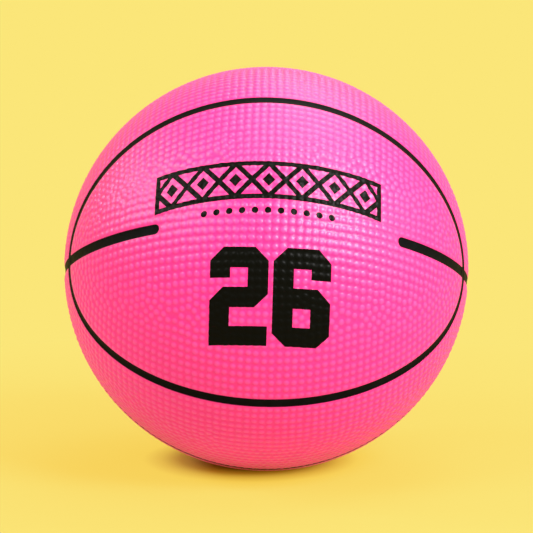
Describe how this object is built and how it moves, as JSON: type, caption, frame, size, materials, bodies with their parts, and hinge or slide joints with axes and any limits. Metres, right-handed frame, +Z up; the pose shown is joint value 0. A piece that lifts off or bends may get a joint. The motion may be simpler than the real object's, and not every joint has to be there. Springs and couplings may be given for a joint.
{
  "type": "mini basketball",
  "caption": "Small inflatable rubber ball with pebbled panels, dark channels between them and a push-in air valve, for a toy hoop or a child's hand.",
  "frame": {"origin": "centre of the ball", "axes": "+Z up as the ball lies on a floor, -Y towards the printed face, +X to the right of someone looking at that face; the ball's own front axis is tilted 18.5 degrees up from -Y"},
  "size_m": [0.1499, 0.1499, 0.1497],
  "materials": {
    "cover": "satin pebbled",
    "channel": "satin",
    "carcass": "matte",
    "yarn": "matte",
    "butyl": "matte"
  },
  "bodies": {
    "ball": {"front_face_panel": "cover", "rear_face_panel": "cover", "front_top_panel": "cover", "front_bottom_panel": "cover", "rear_top_panel": "cover", "rear_bottom_panel": "cover", "meridian_strip": "channel", "front_oval_strip": "channel", "rear_oval_strip": "channel", "front_left_dash": "channel", "front_right_dash": "channel", "rear_left_dash": "channel", "rear_right_dash": "channel", "front_left_link": "channel", "front_right_link": "channel", "rear_left_link": "channel", "rear_right_link": "channel", "carcass_front_half": "carcass", "carcass_rear_half": "carcass", "yarn_winding": "yarn", "bladder": "butyl", "valve_housing": "butyl"},
    "plug": {"valve_plug": "butyl"}
  },
  "joints": [
    {"name": "valve_plug_pull", "type": "slide", "parent": "ball", "child": "plug", "axis": [0, 0.9483, -0.3173], "range_m": [0, 0.018]}
  ]
}
